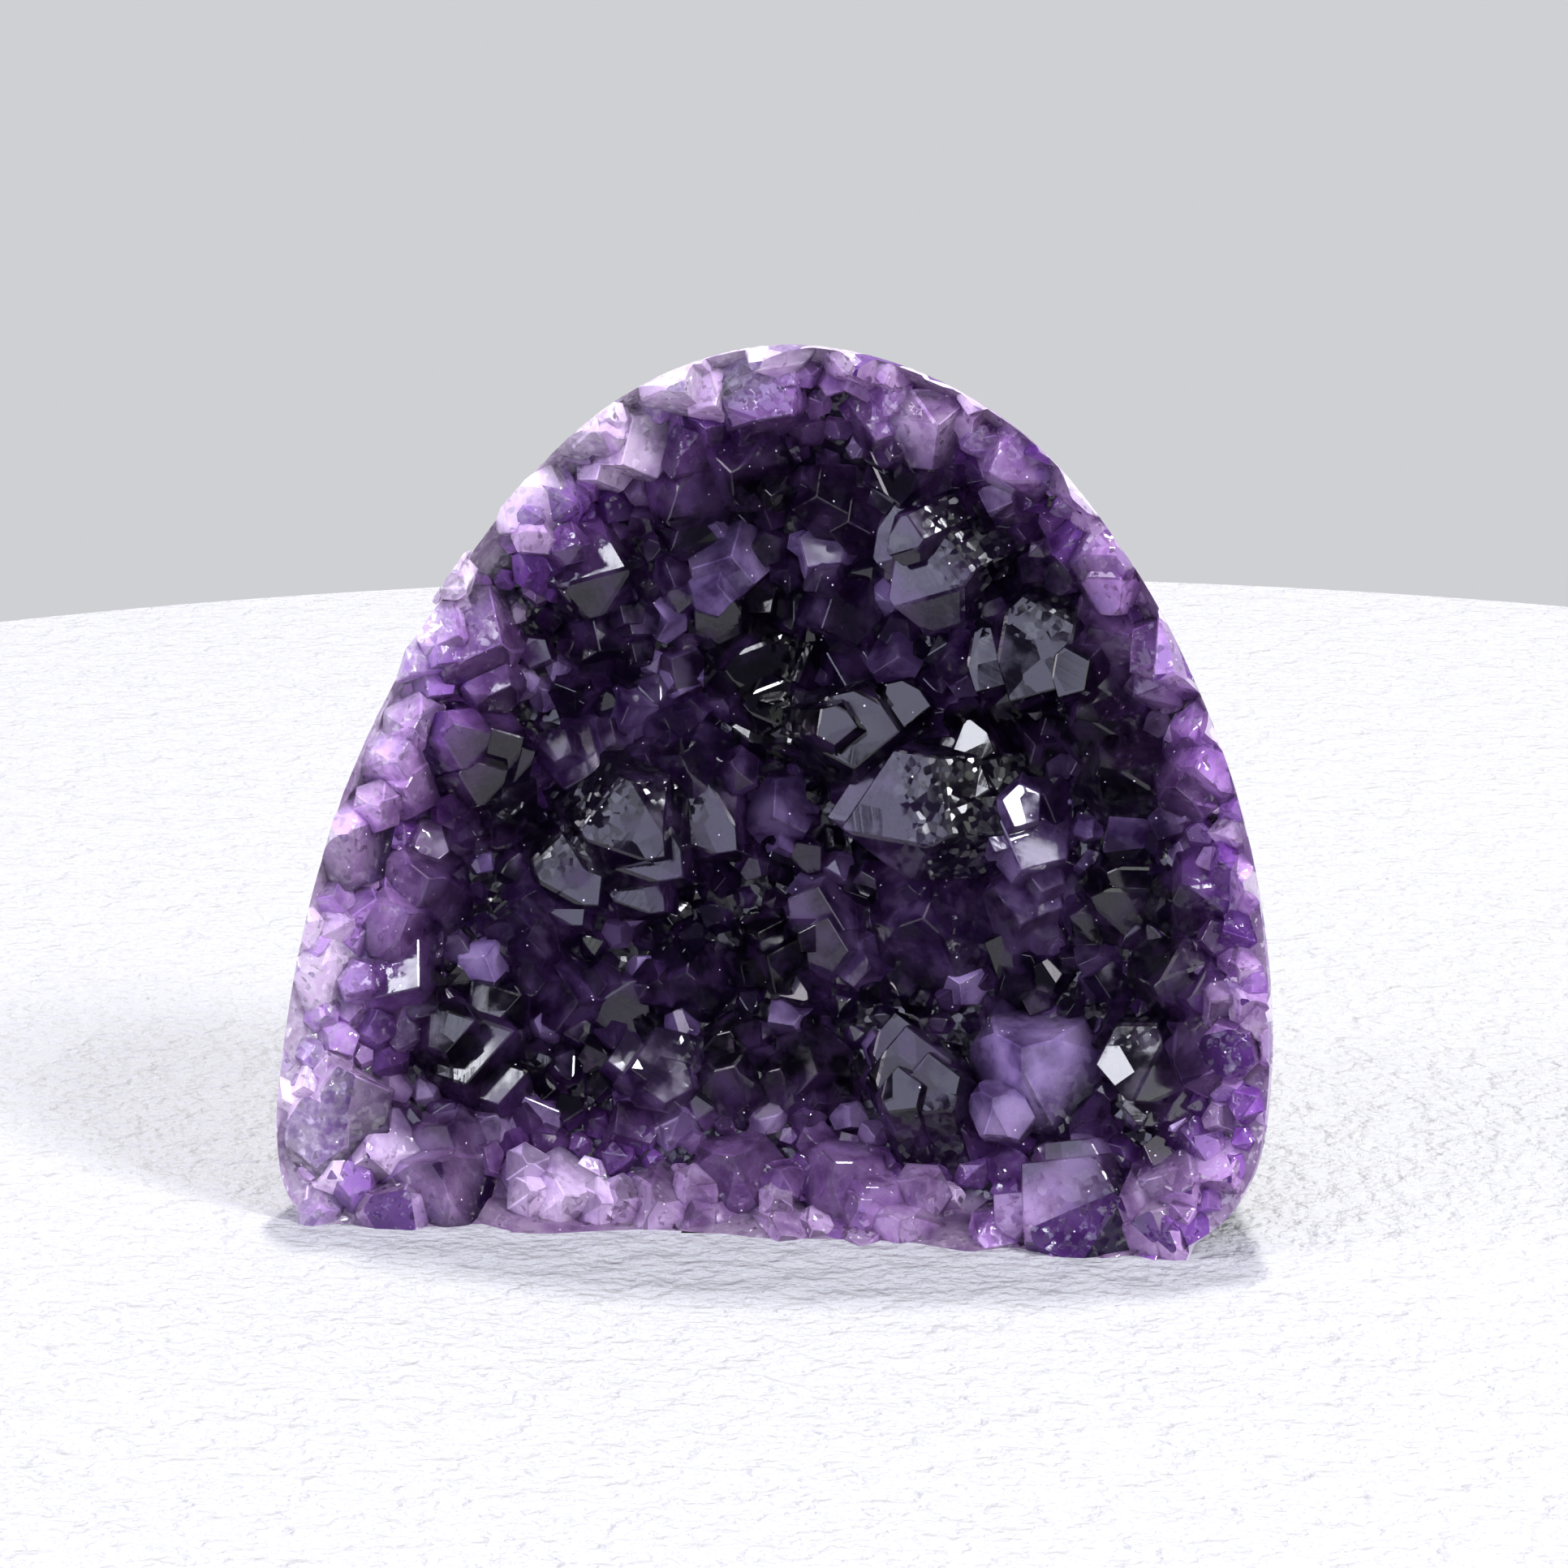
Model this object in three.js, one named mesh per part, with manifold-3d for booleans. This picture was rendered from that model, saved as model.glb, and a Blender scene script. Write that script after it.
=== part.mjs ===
// Cut base amethyst cluster: a piece of a geode wall that stands by itself.
// It is sawn flat underneath, its sides are ground smooth, and its face is left as it grew,
// a shallow bowl lined with crystal points. Behind the crystals is the rock they grew on.
// Millimetres. X runs to the right, Y away from the viewer and Z up.
// The origin is under the middle of the piece, on the surface it stands on.
import * as THREE from "three";
import Module from "manifold-3d";

const wasm = await Module();
wasm.setup();

// The face: where its plane meets the ground, and how far it leans back.
const faceY = -21;
const faceLean = Math.tan(THREE.MathUtils.degToRad(10));
const rimRound = 3;
const blockSteps = 48;

// The outline of the face, seen square on, as x and z. Its lowest points are under the saw cut.
const outline = [
  [-34.5, -1.8], [-39.2, 1.2], [-40.8, 5.6], [-40.6, 13], [-38.4, 26], [-33.4, 41.5], [-25.4, 55],
  [-14.6, 65.8], [-3, 70.6], [8.5, 69.6], [19.5, 64], [28.2, 54.2], [34.4, 43.2], [38.4, 32], [40.4, 20],
  [40.2, 10], [38.4, 4.6], [35.2, 1.4], [30, -1.8], [0, -4],
];
const outlineMiddle = { x: 0, z: 30 };
const outlineReach = { x: 40, z: 70.6 };

// The bowl: its middle and half sizes, and how far its floor lies behind the plane of the face,
// at its edge and at its deepest. It is round above the middle and squarer below.
const bowl = { x: -0.5, z: 33, radiusX: 39.5, radiusZ: 38, edgeFloor: 3.6, deepFloor: 15.5 };
const bowlRoundness = { above: 2, below: 3.5 };
const bowlSteepness = 2.6;
// Between the points the crust is filled up to a little above that floor.
const crust = { thickness: 3, fill: 2.2, gapToRock: 0.35 };
const clearOfTips = () => -8;

// The rock: how fast its ground sides draw in, how deep they run at the base and at the top,
// and how far the rough back bulges between them.
const sideTaper = { x: 0.005, z: 0.003 };
const sideDepth = { base: 39, top: 16 };
const backBulge = 5;
const backLumps = [
  { height: 0.9, wave: 31, heading: 0.4, phase: 1.1 },
  { height: 0.7, wave: 19, heading: 1.9, phase: 0.3 },
  { height: 0.4, wave: 14, heading: 2.7, phase: 2.2 },
];

// Quartz: how far the normals of a tip's faces turn away from the crystal's long axis,
// how deep a crystal roots under the floor, how far its tip stands above it,
// and how much of the bowl's slope a crystal follows.
const tipFaceAngle = THREE.MathUtils.degToRad(51.8);
const rooting = 2;
const tipReach = { plain: 2, perWidth: 0.6, underFace: 0.4 };
const slopeShare = 0.65;

// The crystals that stand out, as x and z of the tip, the width across the flats,
// and how far the tip leans to the right and upwards from the bowl's own direction.
const mainCrystals = [
  [-26.7, 52.7, 7, -0.2, 0.1], [-22, 58, 6.5, -0.1, 0.2], [-17, 64, 6, 0, 0.3], [-8.2, 67, 7, 0.1, 0.3],
  [-2.5, 69.2, 6, -0.1, 0.1], [5.6, 68.2, 6, 0.1, 0], [-0.3, 64.8, 7, 0.2, 0.3],
  [-4.6, 59.7, 8, -0.1, 0.1], [7, 62.6, 6, 0, -0.2], [12, 63.6, 6, 0.2, 0.1],
  [-13.7, 52.3, 8, -0.1, 0.5], [-8.8, 56.7, 7, 0.2, -0.1], [8.3, 50.4, 9, -0.2, 0.2],
  [8.8, 57.4, 6, 0.1, -0.3], [23.8, 59.2, 7.5, 0.1, 0.2], [16.2, 60.6, 7, -0.3, 0],
  [21.6, 54, 6, -0.2, 0.1], [27, 53.4, 6, 0.2, -0.1], [-23.4, 46, 8, 0.1, 0.3], [-18, 57, 6, 0.3, 0],
  [-21.7, 37.9, 7.5, 0.3, -0.1], [-31, 36.6, 8, -0.1, 0], [-34.6, 31, 8.5, -0.1, 0.1],
  [-28.4, 27, 8.5, 0.1, 0.3], [-37, 20, 9, -0.2, 0], [-23.4, 31.2, 7, 0, -0.2],
  [-15.4, 24.6, 7.5, 0.1, -0.1], [-8.4, 27.7, 11, 0, 0], [-8.8, 36.3, 8.5, -0.1, 0.3],
  [-5.2, 43.4, 8, -0.3, 0.1], [5.4, 32.2, 10, -0.2, 0.2], [11.4, 24.4, 10.5, 0, 0.1],
  [8.4, 39, 8, 0.2, 0.2], [14.4, 50.6, 6, 0, -0.1], [0, 37.4, 6.5, 0.2, -0.3],
  [18, 43.6, 8.5, -0.1, 0.1], [30, 46, 8.5, 0.1, 0.2], [25.6, 37.6, 9.5, -0.1, 0.1],
  [33, 38.4, 8, 0.1, 0], [15.6, 35.6, 6.5, 0.2, 0.3], [32.2, 29, 7, 0, 0.2], [37.4, 29.6, 7, 0.2, 0],
  [37.4, 20.6, 8.5, 0.2, 0.1], [25, 27, 7, -0.2, 0.1], [30.4, 21, 8, 0, -0.1], [33.3, 14.4, 7, 0.1, 0],
  [-29.5, 18.6, 7.5, 0.1, -0.1], [-22.4, 14.4, 8, -0.1, 0.3], [-26.4, 5.4, 12.5, 0, 0.3],
  [-35.2, 4, 9, -0.1, 0], [-34, 12.2, 7, 0, 0.2], [-16.4, 3, 8, 0.1, -0.1], [-8, 19.2, 7, 0.1, 0.1],
  [-3.6, 12.4, 7.5, 0, 0.2], [10.2, 15.6, 8, -0.1, 0.1], [-9, 2.6, 7.5, 0, 0], [-3, 6, 8, 0.1, 0.3],
  [5, 5.8, 8, -0.1, 0.2], [1, 0.6, 7, 0, -0.1], [10.6, 2, 7.5, 0.1, 0], [19.8, 15.4, 11.5, 0, 0.3],
  [20.6, 6.4, 10, -0.2, 0.1], [28, 4.6, 9.5, 0.1, 0.1], [14.6, 8.6, 6.5, 0.1, 0.1],
  [28.4, 12.4, 7, -0.1, -0.1], [36.8, 6.6, 7, 0.2, -0.1],
];

// The crystals between them are scattered, smaller ones last, as close as their widths allow.
const fillWidths = [6.4, 5.4, 4.4, 3.6];
const fillTries = 400;
const fillCloseness = 0.41;
const fillReach = 0.99;
const fillLean = 0.36;
const fillSeed = 95;

const violet = 0x4a2a7c;
const rockGrey = 0x8f8f86;

// A repeatable stream of numbers from 0 to 1.
function makeDraw(seed) {
  let state = seed;
  return () => {
    state = (state * 16807) % 2147483647;
    return state / 2147483647;
  };
}

const outlineCurve = new THREE.CatmullRomCurve3(
  outline.map(([x, z]) => new THREE.Vector3(x, 0, z)),
  true,
  "catmullrom",
  0.5,
);

// The point this share of the way round the outline, drawn in to a share of its way from the middle.
function outlineAt(around, inwards = 1) {
  const edge = outlineCurve.getPoint(around);
  return {
    x: outlineMiddle.x + inwards * (edge.x - outlineMiddle.x),
    z: outlineMiddle.z + inwards * (edge.z - outlineMiddle.z),
  };
}

// A ring of evenly spaced steps round the outline, anticlockwise as seen from the front.
function ringOf(count, pointAt) {
  return Array.from({ length: count }, (_, i) => pointAt(1 - i / count));
}

// How far behind the plane of the face the floor of the bowl lies.
function floorDepth(x, z) {
  const power = z > bowl.z ? bowlRoundness.above : bowlRoundness.below;
  const across = Math.abs((x - bowl.x) / bowl.radiusX) ** power;
  const along = Math.abs((z - bowl.z) / bowl.radiusZ) ** power;
  const toEdge = Math.min(1, (across + along) ** (1 / power));
  return bowl.edgeFloor + (bowl.deepFloor - bowl.edgeFloor) * (1 - toEdge ** bowlSteepness);
}

// The point at x and z that lies this deep behind the leaning plane of the face.
function behindFace(x, z, depth) {
  return new THREE.Vector3(x, faceY + z * faceLean + depth, z);
}

// A closed skin over rings of points, each ring running anticlockwise as seen from the front.
// The first and last rings are closed by one point each.
function skin(firstPoint, rings, lastPoint) {
  const around = rings[0].length;
  const points = [firstPoint, ...rings.flat(), lastPoint];
  const last = points.length - 1;
  const corner = (ring, i) => 1 + ring * around + (i % around);
  const faces = [];
  for (let i = 0; i < around; i++) {
    faces.push(0, corner(0, i), corner(0, i + 1));
    faces.push(last, corner(rings.length - 1, i + 1), corner(rings.length - 1, i));
    for (let ring = 0; ring + 1 < rings.length; ring++) {
      faces.push(corner(ring, i), corner(ring + 1, i), corner(ring + 1, i + 1));
      faces.push(corner(ring, i), corner(ring + 1, i + 1), corner(ring, i + 1));
    }
  }
  return toSolid(points, faces);
}

function toSolid(points, faces) {
  const vertProperties = new Float32Array(points.flatMap((p) => [p.x, p.y, p.z]));
  return new wasm.Manifold(new wasm.Mesh({ numProp: 3, vertProperties, triVerts: new Uint32Array(faces) }));
}

// What lies between two surfaces given as depths, wider than the piece on all sides.
function layer(nearDepth, farDepth) {
  const inwards = [0.3, 0.58, 0.8, 0.94, 1.25];
  const onSurface = ({ x, z }, depthAt) => behindFace(x, z, depthAt(x, z));
  const ringsOn = (depthAt) =>
    inwards.map((share) => ringOf(28, (around) => onSurface(outlineAt(around, share), depthAt)));
  const rings = [...ringsOn(nearDepth), ...ringsOn(farDepth).reverse()];
  return skin(onSurface(outlineMiddle, nearDepth), rings, onSurface(outlineMiddle, farDepth));
}

// The rough back, as a depth: deepest at the base, with a bulge and a few broad lumps.
function backDepth({ x, z }, fromMiddle) {
  const upwards = Math.max(0, z) / outlineReach.z;
  const alongSide = THREE.MathUtils.lerp(sideDepth.base, sideDepth.top, upwards);
  let depth = alongSide + backBulge * (1 - fromMiddle * fromMiddle);
  for (const { height, wave, heading, phase } of backLumps) {
    const along = (x * Math.cos(heading) + z * Math.sin(heading)) / wave;
    depth += height * Math.sin(2 * Math.PI * along + phase);
  }
  return depth;
}

// The whole piece as its rounded rim, ground sides, rough back and saw cut bound it.
function makeBlock() {
  const place = ({ x, z }, depth, inset = 0) => {
    const narrowed = x * (1 - sideTaper.x * depth - inset / outlineReach.x);
    const lowered = z * (1 - sideTaper.z * depth - inset / outlineReach.z);
    return behindFace(narrowed, lowered, depth);
  };
  const rings = [];
  for (const share of [0.15, 0.55, 1]) {
    const turn = (share * Math.PI) / 2;
    const depth = rimRound * (1 - Math.cos(turn));
    const inset = rimRound * (1 - Math.sin(turn));
    rings.push(ringOf(blockSteps, (around) => place(outlineAt(around), depth, inset)));
  }
  for (const share of [0.45, 1]) {
    const sideAt = (p) => place(p, THREE.MathUtils.lerp(rimRound, backDepth(p, 1), share));
    rings.push(ringOf(blockSteps, (around) => sideAt(outlineAt(around))));
  }
  for (const share of [0.86, 0.66, 0.44, 0.22]) {
    const backAt = (p) => place(p, backDepth(p, share));
    rings.push(ringOf(blockSteps, (around) => backAt(outlineAt(around, share))));
  }
  const block = skin(place(outlineMiddle, 0), rings, place(outlineMiddle, backDepth(outlineMiddle, 0)));
  return block.subtract(underSawCut());
}

// Everything under the flat base.
function underSawCut() {
  const depth = 30;
  const box = new THREE.BoxGeometry(200, 200, depth).translate(0, 0, -depth / 2);
  box.deleteAttribute("normal");
  box.deleteAttribute("uv");
  return fromGeometry(box);
}

// A three.js geometry whose corners lie on each other, as a solid.
function fromGeometry(geometry) {
  const { position } = geometry.attributes;
  const points = [];
  const indexOf = new Map();
  const faces = Array.from(geometry.index.array, (i) => {
    const p = new THREE.Vector3().fromBufferAttribute(position, i);
    const key = p.toArray().join();
    if (!indexOf.has(key)) indexOf.set(key, points.push(p) - 1);
    return indexOf.get(key);
  });
  return toSolid(points, faces);
}

// The convex body that a set of planes encloses. Each plane is an outward normal and a distance.
function enclosedBy(planes) {
  const corners = [];
  const onPlane = planes.map(() => new Set());
  const addCorner = (p, holders) => {
    if (planes.some((plane) => plane.normal.dot(p) > plane.distance + 1e-6)) return;
    let index = corners.findIndex((corner) => corner.distanceTo(p) < 1e-4);
    if (index < 0) index = corners.push(p) - 1;
    holders.forEach((holder) => onPlane[holder].add(index));
  };
  for (let i = 0; i < planes.length; i++)
    for (let j = i + 1; j < planes.length; j++)
      for (let k = j + 1; k < planes.length; k++) {
        const [a, b, c] = [planes[i], planes[j], planes[k]];
        const bc = b.normal.clone().cross(c.normal);
        const determinant = a.normal.dot(bc);
        if (Math.abs(determinant) < 1e-7) continue;
        const p = bc.multiplyScalar(a.distance);
        p.addScaledVector(c.normal.clone().cross(a.normal), b.distance);
        p.addScaledVector(a.normal.clone().cross(b.normal), c.distance);
        addCorner(p.divideScalar(determinant), [i, j, k]);
      }
  const faces = [];
  planes.forEach(({ normal }, plane) => {
    const loop = [...onPlane[plane]];
    if (loop.length < 3) return;
    const middle = new THREE.Vector3();
    loop.forEach((i) => middle.addScaledVector(corners[i], 1 / loop.length));
    const right = corners[loop[0]].clone().sub(middle).normalize();
    const up = normal.clone().cross(right);
    const turn = (i) => {
      const offset = corners[i].clone().sub(middle);
      return Math.atan2(offset.dot(up), offset.dot(right));
    };
    loop.sort((i, j) => turn(i) - turn(j));
    for (let i = 1; i + 1 < loop.length; i++) faces.push(loop[0], loop[i], loop[i + 1]);
  });
  return toSolid(corners, faces);
}

// One quartz crystal: a six-sided prism that ends in three large tip faces and three small ones,
// or in the three large ones alone where it is plain.
function makeCrystal({ x, z, width, leanRight, leanUp, plain }, draw) {
  const floor = floorDepth(x, z);
  const reach = Math.min(tipReach.plain + tipReach.perWidth * width, floor - tipReach.underFace);
  const tip = behindFace(x, z, floor - reach);
  const slopeX = slopeShare * (floorDepth(x + 0.5, z) - floorDepth(x - 0.5, z));
  const slopeZ = slopeShare * (floorDepth(x, z + 0.5) - floorDepth(x, z - 0.5));
  const outwards = new THREE.Vector3(slopeX + leanRight, -1, slopeZ + faceLean + leanUp).normalize();
  const sideways = new THREE.Vector3(0, 0, 1).cross(outwards).normalize();
  const upwards = outwards.clone().cross(sideways);
  const twist = draw() * Math.PI * 2;
  const apothem = width / 2;
  const planes = [{ normal: outwards.clone().negate(), distance: reach + rooting - outwards.dot(tip) }];
  for (let side = 0; side < 6; side++) {
    const turn = twist + (side * Math.PI) / 3;
    const radial = sideways.clone().multiplyScalar(Math.cos(turn)).addScaledVector(upwards, Math.sin(turn));
    const out = apothem * (0.9 + 0.2 * draw());
    planes.push({ normal: radial, distance: radial.dot(tip) + out });
    const tilted = radial.clone().multiplyScalar(Math.sin(tipFaceAngle));
    tilted.addScaledVector(outwards, Math.cos(tipFaceAngle));
    const isSmall = side % 2 === 1;
    const setBack = (isSmall ? 0.1 + 0.14 * draw() : 0.06 * draw()) * apothem;
    if (!(plain && isSmall)) planes.push({ normal: tilted, distance: tilted.dot(tip) + setBack });
  }
  return enclosedBy(planes);
}

// Where every crystal stands: the ones that stand out, and then the ones between them.
function placeCrystals(draw) {
  const placed = mainCrystals.map(([x, z, width, leanRight, leanUp]) => {
    return { x, z, width, leanRight, leanUp };
  });
  for (const width of fillWidths)
    for (let i = 0; i < fillTries; i++) {
      const { x, z } = outlineAt(draw(), Math.sqrt(draw()) * fillReach);
      const leanRight = (draw() - 0.5) * 2 * fillLean;
      const leanUp = (draw() - 0.5) * 2 * fillLean;
      const crowded = placed.some(
        (other) => Math.hypot(other.x - x, other.z - z) < fillCloseness * (other.width + width),
      );
      if (z > -1 && !crowded) placed.push({ x, z, width, leanRight, leanUp, plain: true });
    }
  return placed;
}

// All the crystals and the quartz they root in, as one body.
function makeCrust(block) {
  const draw = makeDraw(fillSeed);
  const behindCrust = (x, z) => floorDepth(x, z) + crust.thickness;
  const roots = layer((x, z) => floorDepth(x, z) - crust.fill, behindCrust);
  const crystals = placeCrystals(draw).map((crystal) => makeCrystal(crystal, draw));
  const inFront = layer(clearOfTips, behindCrust);
  return wasm.Manifold.union([roots, ...crystals]).intersect(inFront).intersect(block);
}

// The rock: what is left of the block behind the crust.
function makeMatrix(block) {
  const rockFront = (x, z) => floorDepth(x, z) + crust.thickness + crust.gapToRock;
  return block.subtract(layer(clearOfTips, rockFront));
}

function toMesh(solid, name, material) {
  const { vertProperties, triVerts } = solid.getMesh();
  const geometry = new THREE.BufferGeometry();
  geometry.setAttribute("position", new THREE.BufferAttribute(vertProperties, 3));
  geometry.setIndex(new THREE.BufferAttribute(triVerts, 1));
  geometry.computeVertexNormals();
  const mesh = new THREE.Mesh(geometry, material);
  mesh.name = name;
  return mesh;
}

const block = makeBlock();
const amethyst = new THREE.MeshStandardMaterial({ color: violet, roughness: 0.12, flatShading: true });
const stone = new THREE.MeshStandardMaterial({ color: rockGrey, roughness: 0.7, flatShading: true });

const cluster = new THREE.Group();
cluster.add(toMesh(makeCrust(block), "crystal_crust", amethyst));
cluster.add(toMesh(makeMatrix(block), "matrix", stone));

export default cluster;
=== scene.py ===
# Cut base amethyst cluster: a dark druse of amethyst on geode rock, sawn to stand.
import bisect
import math

import bpy
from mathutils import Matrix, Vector, noise


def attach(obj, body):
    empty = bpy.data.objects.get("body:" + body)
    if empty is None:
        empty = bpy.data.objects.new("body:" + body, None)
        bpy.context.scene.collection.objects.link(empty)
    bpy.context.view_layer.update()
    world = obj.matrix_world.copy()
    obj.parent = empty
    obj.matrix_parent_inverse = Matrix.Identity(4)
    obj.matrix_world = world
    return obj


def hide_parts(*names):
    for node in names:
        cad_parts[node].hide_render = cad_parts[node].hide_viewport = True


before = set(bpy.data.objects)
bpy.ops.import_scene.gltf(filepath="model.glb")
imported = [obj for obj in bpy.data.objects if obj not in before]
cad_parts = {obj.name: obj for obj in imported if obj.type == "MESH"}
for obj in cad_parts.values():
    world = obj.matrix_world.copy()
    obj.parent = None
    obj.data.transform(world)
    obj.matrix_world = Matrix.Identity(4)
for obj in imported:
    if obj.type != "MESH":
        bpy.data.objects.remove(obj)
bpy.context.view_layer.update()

mm = 0.001


def linear(code, alpha=1.0):
    channels = [int(code[i:i + 2], 16) / 255 for i in (1, 3, 5)]
    return [c / 12.92 if c <= 0.04045 else ((c + 0.055) / 1.055) ** 2.4 for c in channels] + [alpha]


# Gives the function that adds one node to a tree. A shader node goes by its name without "ShaderNode".
# Inputs are given in order or by name, and are linked where they are a node or an output. Colours are
# hex codes, a colour ramp's stops pairs of a place and a colour, and a pattern's size is in millimetres.
def nodeAdder(tree):
    tree.nodes.clear()

    def put(kind, *inputs, **named):
        node = tree.nodes.new(kind if "Node" in kind else "ShaderNode" + kind)
        values = []
        for key, value in named.items():
            if key == "stops":
                while len(node.color_ramp.elements) < len(value):
                    node.color_ramp.elements.new(0.5)
                for stop, (at, colour) in zip(node.color_ramp.elements, value):
                    stop.position, stop.color = at, linear(colour)
            elif key == "sizeMm":
                values.append((node.inputs["Scale"], 1 / (value * mm)))
            elif hasattr(node, key):
                setattr(node, key, value)
            else:
                values.append((node.inputs[key], value))
        values += zip([socket for socket in node.inputs if socket.enabled], inputs)
        for socket, value in values:
            if isinstance(value, bpy.types.Node):
                value = next(output for output in value.outputs if output.enabled)
            if isinstance(value, bpy.types.NodeSocket):
                tree.links.new(value, socket)
            else:
                socket.default_value = linear(value) if isinstance(value, str) else value
        return node
    return put


def newMaterial(name):
    material = bpy.data.materials.new(name)
    material.use_nodes = True
    print("material:", name)
    return material, nodeAdder(material.node_tree)


# The camera: the photograph's angle, with a view 122.5 mm wide at its distance of 490 mm.
view = {
    "azimuthDeg": 8, "elevationDeg": 13, "distance": 490, "lens": 144, "sensor": 36, "clip": (0.01, 20),
    "target": (1.57, -20.6, 37.7),
}

# The studio light: each light's place, its width and height in metres, how bright its face is, its colour.
# The sun stands high behind the piece and throws the short shadow in front of it.
lights = {
    "sun": ((0.03, 0.55, 1.45), (0.12, 0.12), 410, "#fffdf8"),
    "fill": ((0.8, -0.47, 0.88), (0.3, 0.3), 44, "#f6f8ff"),
    "window": ((-0.7, -1.6, 0.75), (0.5, 0.9), 3.3, "#dcdcff"),
    "windowLeft": ((-1.15, -1.33, 0.75), (0.5, 0.9), 4.6, "#dfe2ff"),
    "windowRight": ((-0.2, -1.73, 0.75), (0.5, 0.9), 2.2, "#dfe0f2"),
    "board": ((1.25, -1.45, 0.5), (1.0, 0.8), 2.8, "#dfe8de"),
    "pane": ((-0.8, -0.5, 0.8), (0.22, 0.22), 17, "#f2f4ff"),
    "lamp": ((0.35, -1.1, 1.3), (0.3, 0.3), 7, "#f2f1ff"),
    "left": ((-1.3, -0.4, 0.42), (0.5, 0.5), 7.2, "#fbf4ff"),
    "above": ((0, -0.1, 1.6), (1.1, 0.9), 1.8, "#ffffff"),
}

# The shape of the piece, in millimetres: its leaning face, the outline of that face as x and z,
# the bowl that the crystals line, and the ground sides and rough back of the rock.
cut = {
    "faceY": -21, "faceLeanDeg": 10, "rimRound": 3, "drawnIn": 0.2, "frontClear": 0.5,
    "outline": [
        (-34.5, -1.8), (-39.2, 1.2), (-40.8, 5.6), (-40.6, 13), (-38.4, 26), (-33.4, 41.5), (-25.4, 55),
        (-14.6, 65.8), (-3, 70.6), (8.5, 69.6), (19.5, 64), (28.2, 54.2), (34.4, 43.2), (38.4, 32),
        (40.4, 20), (40.2, 10), (38.4, 4.6), (35.2, 1.4), (30, -1.8), (0, -4),
    ],
    "middle": (0, 30), "reachX": 40, "reachZ": 70.6,
    "bowlX": -0.5, "bowlZ": 33, "bowlRadiusX": 39.5, "bowlRadiusZ": 38,
    "edgeFloor": 3.6, "deepFloor": 15.5, "steepness": 2.6, "roundAbove": 2, "roundBelow": 3.5,
    "crustThickness": 3, "fill": 1.1, "rimFill": 0.7, "rimFillShares": (0.945, 1.0), "footFillZ": (0.6, 0),
    "taperX": 0.005, "taperZ": 0.003, "baseDepth": 39, "topDepth": 16, "backBulge": 5,
    "backLumps": [(0.9, 31, 0.4, 1.1), (0.7, 19, 1.9, 0.3), (0.4, 14, 2.7, 2.2)],
    "broken": [(1.8, 9), (1.1, 3.6), (0.5, 1.5)], "backDrawnIn": 0.3, "seamOverlap": 0.02,
}

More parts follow.
